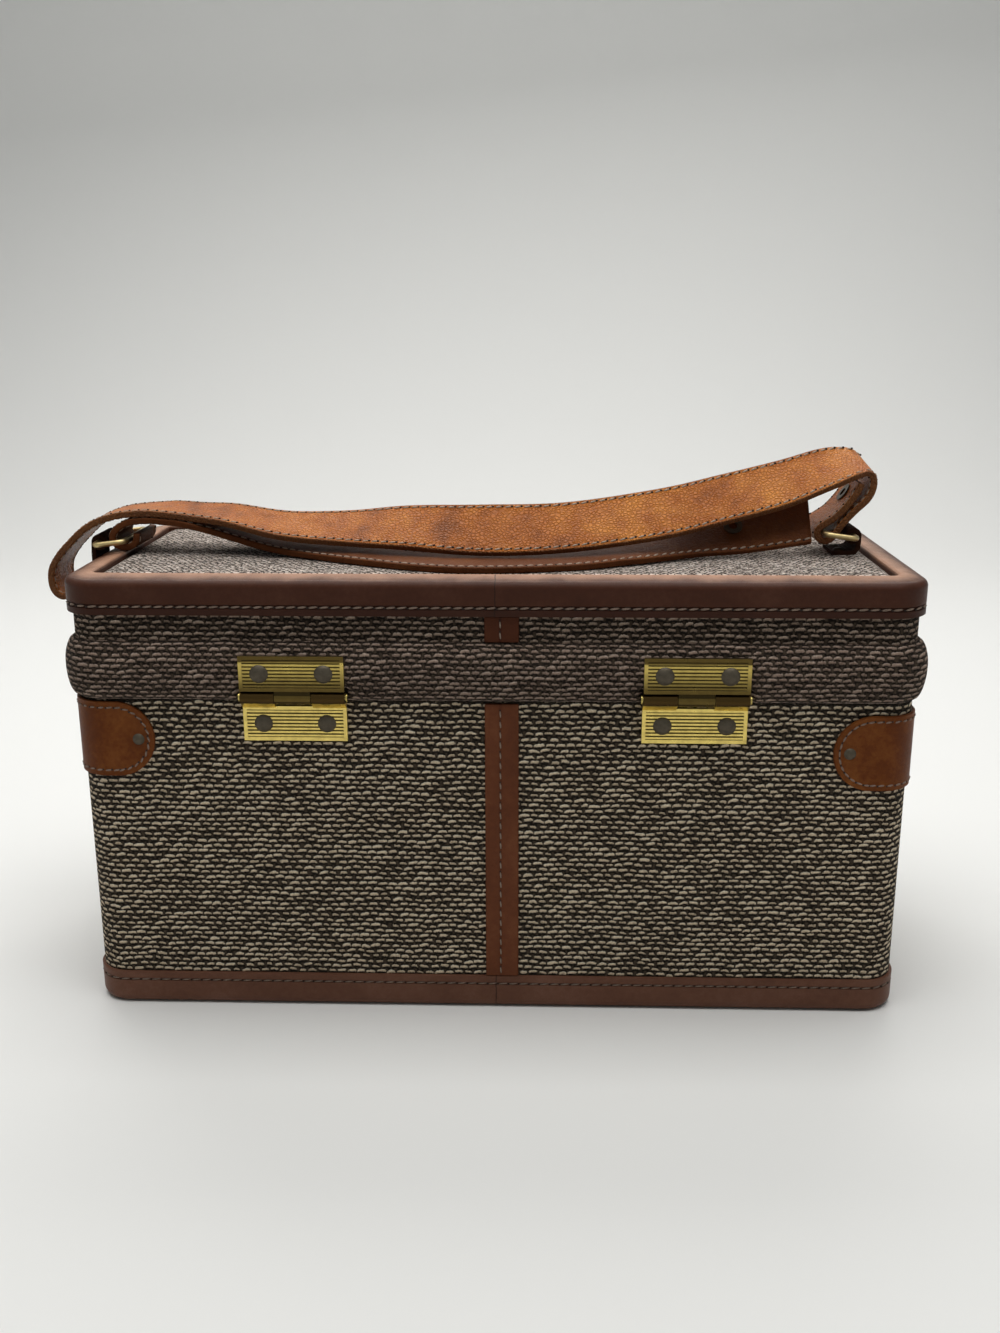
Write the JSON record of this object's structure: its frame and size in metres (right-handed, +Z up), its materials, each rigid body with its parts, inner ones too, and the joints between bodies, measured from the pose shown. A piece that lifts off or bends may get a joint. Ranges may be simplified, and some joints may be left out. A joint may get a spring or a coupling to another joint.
{
  "type": "cosmetic train case",
  "caption": "Hard tweed travel case with leather bindings, a padded lid rim, ribbed hinges, a front lock, a mirror in the lid and a doubled leather strap on brass rings",
  "frame": {"origin": "centre of the underside, on the surface that the case stands on", "axes": "+X along the width with the picture's left at +X, +Y towards the hinges, +Z up; the lock is at -Y"},
  "size_m": [0.3982, 0.1636, 0.2471],
  "materials": {
    "box_wood": "plain thin board",
    "wall_tweed": "coarse basket-woven tweed, beige over dark brown",
    "band_tweed": "denser fuzzy tweed over padding",
    "top_tweed": "fine fuzzy tweed",
    "binding_leather": "smooth brown leather, edge stitched",
    "lip_leather": "smooth brown leather",
    "strip_leather": "red-brown leather strip",
    "patch_leather": "tan-brown leather, stitched near the edge",
    "strap_leather": "orange-tan pebbled leather, stitched along both edges",
    "hinge_brass": "bright ribbed brass with dark lines",
    "ring_brass": "old dark brass wire",
    "rivet_metal": "dark antique dome",
    "lining_fabric": "plain woven lining",
    "pocket_fabric": "gathered woven lining",
    "fibre_board": "dark covered fibre board",
    "mirror_glass": "silvered glass"
  },
  "bodies": {
    "base": {"base_box": "box_wood", "base_cover": "wall_tweed", "base_trim": "binding_leather", "bottom_panel": "fibre_board", "base_rim": "binding_leather", "base_lip": "lip_leather", "base_lining": "lining_fabric", "base_pocket": "pocket_fabric", "back_strip_base": "strip_leather", "front_strip_base": "strip_leather", "side_band_left": "patch_leather", "side_band_right": "patch_leather", "patch_rivets": "rivet_metal", "hinge_leaf_base_left": "hinge_brass", "hinge_leaf_base_right": "hinge_brass", "hinge_pins": "hinge_brass", "hinge_rivets_base": "rivet_metal", "lock_plate": "hinge_brass", "lock_case": "hinge_brass", "lock_rivets": "rivet_metal"},
    "bolt": {"lock_bolt": "hinge_brass"},
    "key": {"key_cylinder": "hinge_brass"},
    "lid": {"lid_box": "box_wood", "lid_cover": "wall_tweed", "lid_top_panel": "top_tweed", "lid_trim": "binding_leather", "lid_band": "band_tweed", "lid_lining": "lining_fabric", "mirror_frame": "lip_leather", "mirror": "mirror_glass", "back_strip_lid": "strip_leather", "front_strip_lid": "strip_leather", "hinge_leaf_lid_left": "hinge_brass", "hinge_leaf_lid_right": "hinge_brass", "hinge_rivets_lid": "rivet_metal", "hasp_plate": "hinge_brass", "hasp_rivets": "rivet_metal", "hasp_pin": "hinge_brass", "chape_left": "patch_leather", "chape_right": "patch_leather", "chape_rivets": "rivet_metal"},
    "hasp": {"hasp": "hinge_brass"},
    "strap": {"strap": "strap_leather", "strap_lower": "strap_leather", "strap_eyelets": "rivet_metal"},
    "ring_left": {"ring_left": "ring_brass"},
    "ring_right": {"ring_right": "ring_brass"}
  },
  "joints": [
    {"name": "lid_hinge", "type": "hinge", "parent": "base", "child": "lid", "pos_m": [0, 0.0755, 0.149], "axis": [-1, 0, 0], "range_deg": [0, 100]},
    {"name": "hasp_hinge", "type": "hinge", "parent": "lid", "child": "hasp", "pos_m": [0, -0.078, 0.1516], "axis": [-1, 0, 0], "range_deg": [0, 110]},
    {"name": "bolt_slide", "type": "slide", "parent": "base", "child": "bolt", "axis": [1, 0, 0], "range_m": [0, 0.0055]},
    {"name": "key_turn", "type": "hinge", "parent": "base", "child": "key", "pos_m": [0, -0.08, 0.1203], "axis": [0, -1, 0], "range_deg": [0, 90]},
    {"name": "strap_lift", "type": "slide", "parent": "lid", "child": "strap", "axis": [0, 0, 1], "range_m": [0, 0.004]},
    {"name": "ring_left_tilt", "type": "hinge", "parent": "lid", "child": "ring_left", "pos_m": [0.1859, 0, 0.2041], "axis": [0, 1, 0], "range_deg": [0, 17.5]},
    {"name": "ring_right_tilt", "type": "hinge", "parent": "lid", "child": "ring_right", "pos_m": [-0.1642, 0, 0.2082], "axis": [0, -1, 0], "range_deg": [0, 17.5]}
  ],
  "couplings": [
    {"joint": "ring_left_tilt", "follows": "strap_lift", "rad_per_m": 74.2},
    {"joint": "ring_right_tilt", "follows": "strap_lift", "rad_per_m": 74.9}
  ]
}
